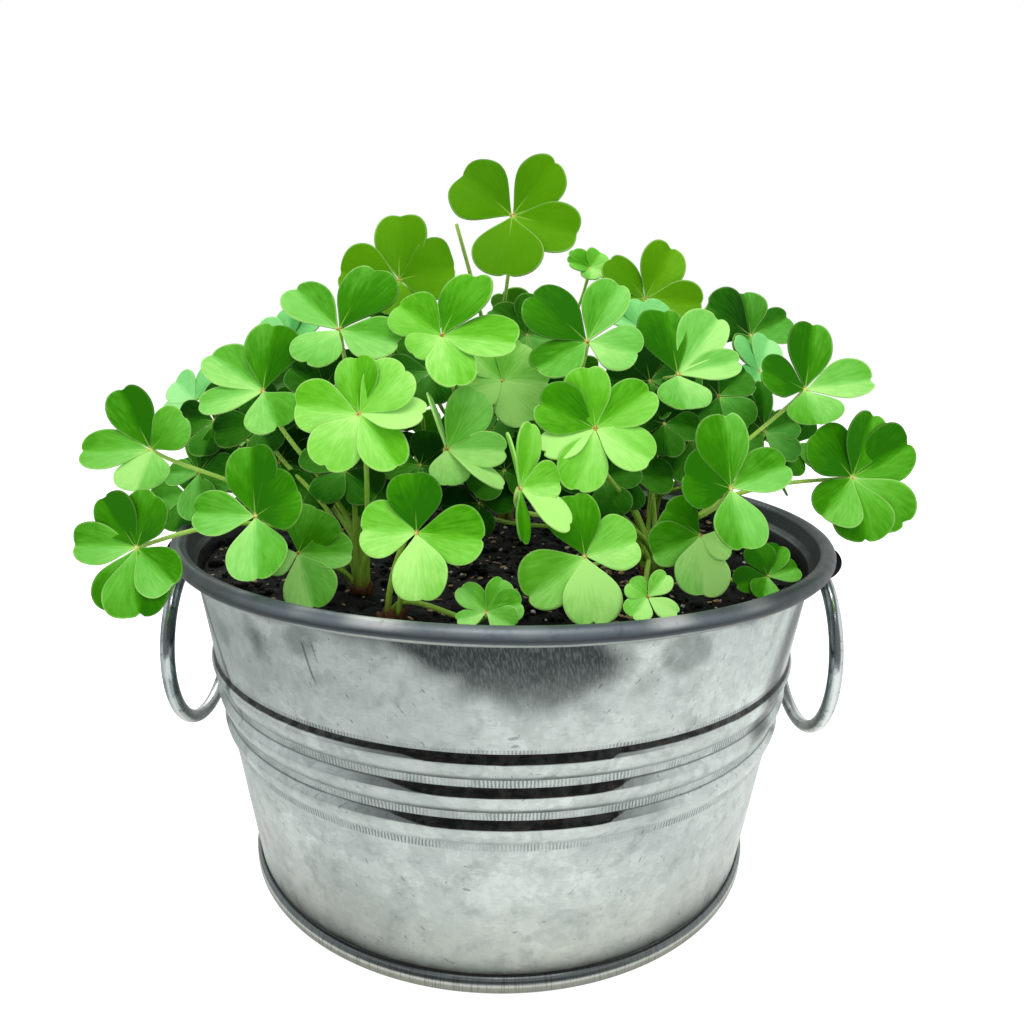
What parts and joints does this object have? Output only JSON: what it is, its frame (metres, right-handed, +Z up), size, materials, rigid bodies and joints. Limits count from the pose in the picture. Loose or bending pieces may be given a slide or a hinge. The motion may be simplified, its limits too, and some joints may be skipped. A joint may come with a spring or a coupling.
{
  "type": "potted shamrock",
  "caption": "Clumps of four- to six-leaved shamrock growing in soil in a ribbed, galvanised metal tub with a swinging ring handle at each side.",
  "frame": {"origin": "on the tub's axis, on the plane that its foot stands on", "axes": "+Z up along the tub's axis; -Y is the front; the ring handles lie at -X and +X"},
  "size_m": [0.2279, 0.1998, 0.2123],
  "materials": {
    "galvanised": "zinc-coated sheet, mottled pale grey, satin, with fine scratches",
    "ear_steel": "dark, dull zinc",
    "ring_steel": "round wire, half polished, rougher and greyer low down",
    "soil": "near-black potting soil with small tan chips",
    "stalk": "thin juicy stalk, pale green, a little translucent",
    "leaf_fresh": "bright yellow-green leaf, satin, creased along each midrib",
    "leaf_mid": "mid-green leaf, satin, creased along each midrib",
    "leaf_deep": "deep green leaf, satin, creased along each midrib",
    "leaf_olive": "olive-green leaf seen against the light",
    "leaf_pale": "pale bluish-green leaf, soft sheen"
  },
  "bodies": {
    "tub": {"ear_left": "ear_steel", "ear_right": "ear_steel", "leaf_01": "leaf_fresh", "leaf_02": "leaf_fresh", "leaf_03": "leaf_mid", "leaf_04": "leaf_mid", "leaf_05": "leaf_mid", "leaf_06": "leaf_mid", "leaf_07": "leaf_mid", "leaf_08": "leaf_fresh", "leaf_09": "leaf_mid", "leaf_10": "leaf_mid", "leaf_11": "leaf_mid", "leaf_12": "leaf_mid", "leaf_13": "leaf_mid", "leaf_14": "leaf_fresh", "leaf_15": "leaf_fresh", "leaf_16": "leaf_mid", "leaf_17": "leaf_fresh", "leaf_18": "leaf_fresh", "leaf_19": "leaf_mid", "leaf_20": "leaf_mid", "leaf_21": "leaf_mid", "leaf_22": "leaf_mid", "leaf_23": "leaf_olive", "leaf_24": "leaf_olive", "leaf_25": "leaf_olive", "leaf_26": "leaf_fresh", "leaf_27": "leaf_deep", "leaf_28": "leaf_deep", "leaf_29": "leaf_fresh", "leaf_30": "leaf_deep", "leaf_31": "leaf_deep", "leaf_32": "leaf_pale", "leaf_33": "leaf_pale", "leaf_34": "leaf_pale", "leaf_35": "leaf_pale", "leaf_36": "leaf_deep", "leaf_37": "leaf_deep", "leaf_38": "leaf_mid", "leaf_39": "leaf_mid", "soil": "soil", "spray_back_left": "leaf_mid", "spray_back_right": "leaf_mid", "stalks_back": "stalk", "stalks_front": "stalk", "stalks_left_back": "stalk", "stalks_left_front": "stalk", "stalks_right_back": "stalk", "stalks_right_front": "stalk", "tub_bottom": "galvanised", "tub_wall": "galvanised"},
    "ring_left": {"ring_left": "ring_steel"},
    "ring_right": {"ring_right": "ring_steel"}
  },
  "joints": [
    {"name": "ring_left_swing", "type": "hinge", "parent": "tub", "child": "ring_left", "pos_m": [-0.1, 0, 0.093], "axis": [0, 1, 0], "range_deg": [-12, 100]},
    {"name": "ring_right_swing", "type": "hinge", "parent": "tub", "child": "ring_right", "pos_m": [0.1, 0, 0.093], "axis": [0, -1, 0], "range_deg": [-12, 100]}
  ]
}
